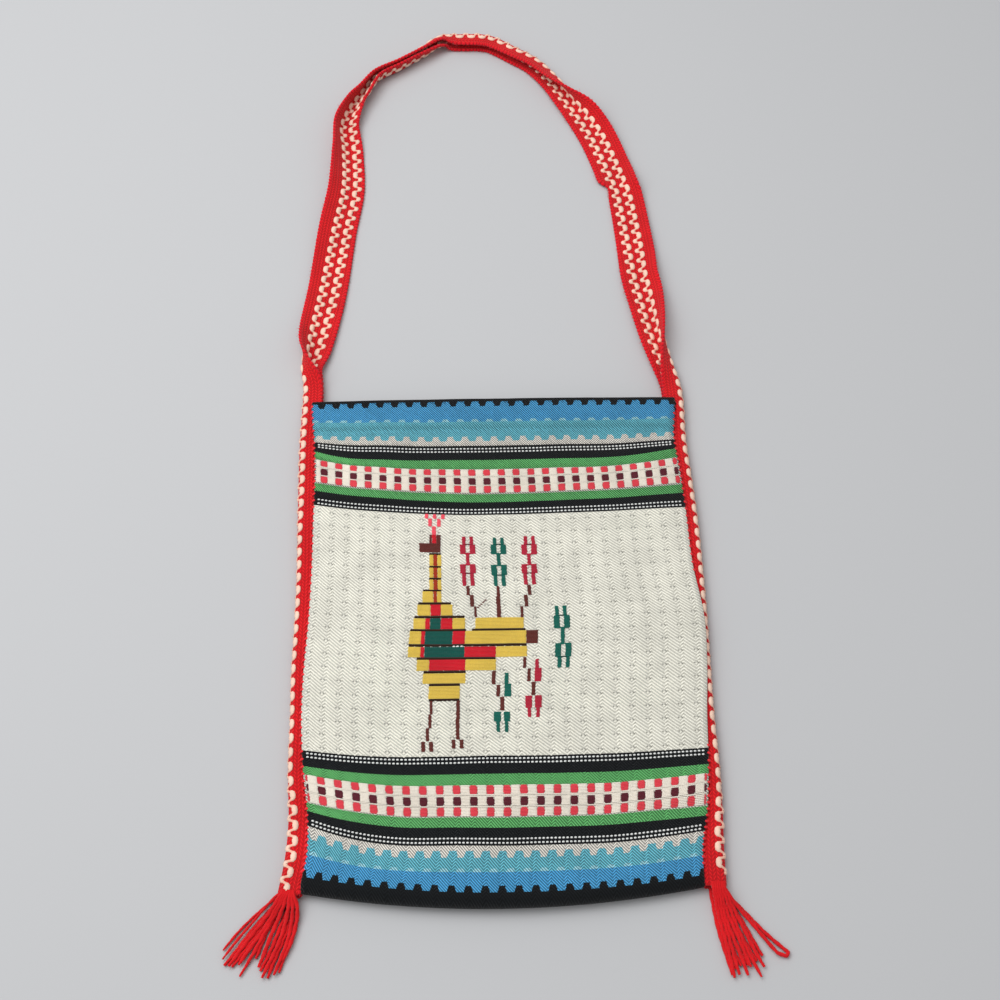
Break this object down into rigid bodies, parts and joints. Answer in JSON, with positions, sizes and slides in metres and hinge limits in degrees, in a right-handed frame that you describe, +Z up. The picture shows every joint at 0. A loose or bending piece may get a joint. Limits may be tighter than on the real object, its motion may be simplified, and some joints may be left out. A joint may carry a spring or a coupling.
{
  "type": "woven wool shoulder bag",
  "caption": "Flat woven wool shoulder bag with striped ends and an inlaid bird, lying with its band folded along the sides and laid out as a shoulder loop, tassels at the corners.",
  "frame": {"origin": "on the underside of the back wall, in the middle of the bag, on the surface that it lies on", "axes": "+X to the right of the front wall, +Y from the bottom fold past the mouth to the crown of the loop, +Z up out of the front wall"},
  "size_m": [0.3498, 0.7976, 0.0161],
  "materials": {
    "wool_cloth": "natural cream wool in an eyed twill, with dyed stripes and inlaid figures",
    "wool_band": "red wool band with two wavy rows of cream floats",
    "wool_tassel": "loose plied red wool yarn"
  },
  "bodies": {
    "root": {"cloth_body": "wool_cloth", "shoulder_band": "wool_band", "tassel_left": "wool_tassel", "tassel_right": "wool_tassel"}
  },
  "joints": []
}
